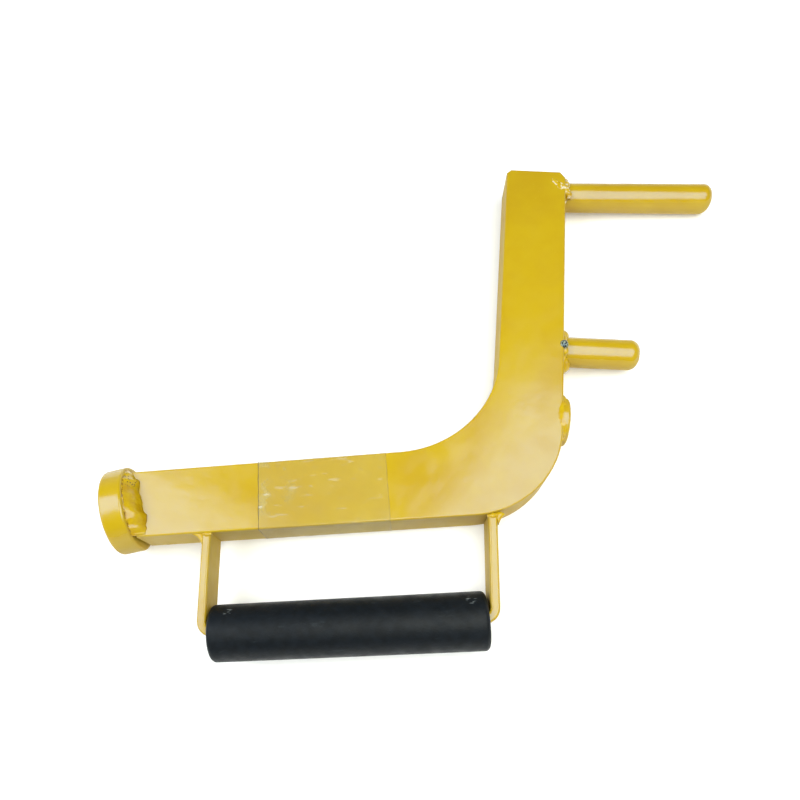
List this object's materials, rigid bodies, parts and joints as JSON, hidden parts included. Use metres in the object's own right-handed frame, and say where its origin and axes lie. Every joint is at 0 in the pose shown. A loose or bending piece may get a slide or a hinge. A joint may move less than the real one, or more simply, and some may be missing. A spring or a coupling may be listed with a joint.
{
  "type": "toe lifting lever",
  "caption": "Angled flat-plate lifting lever with round toes on its upright end, an end disc on the long leg and a side carrying handle with a rubber sleeve.",
  "frame": {"origin": "on the ground plane, under the middle of the part's box, as the part lies flat", "axes": "+X along the toes towards their tips, +Y up along the upright leg, +Z through the plate's thickness, up from the ground"},
  "size_m": [0.2786, 0.2567, 0.0404],
  "materials": {
    "paint": "semi-gloss yellow enamel",
    "weld_paint": "thick glossy enamel over rough weld",
    "grip_rubber": "matt",
    "clear_tape": "clear wrinkled film"
  },
  "bodies": {
    "lever": {"arm": "paint", "end_disc": "paint", "heel_boss": "paint", "long_toe": "paint", "short_toe": "paint", "handle_strap": "paint", "tape_wrap": "clear_tape", "weld_disc_upper": "weld_paint", "weld_disc_lower": "weld_paint", "weld_long_toe": "weld_paint", "weld_short_toe": "weld_paint", "weld_strap_left": "weld_paint", "weld_strap_right": "weld_paint"},
    "grip": {"grip_sleeve": "grip_rubber"}
  },
  "joints": [
    {"name": "grip_spin", "type": "hinge", "parent": "lever", "child": "grip", "pos_m": [-0.01809, -0.10719, 0.0202], "axis": [0.9877, 0.1564, 0], "continuous": true}
  ]
}
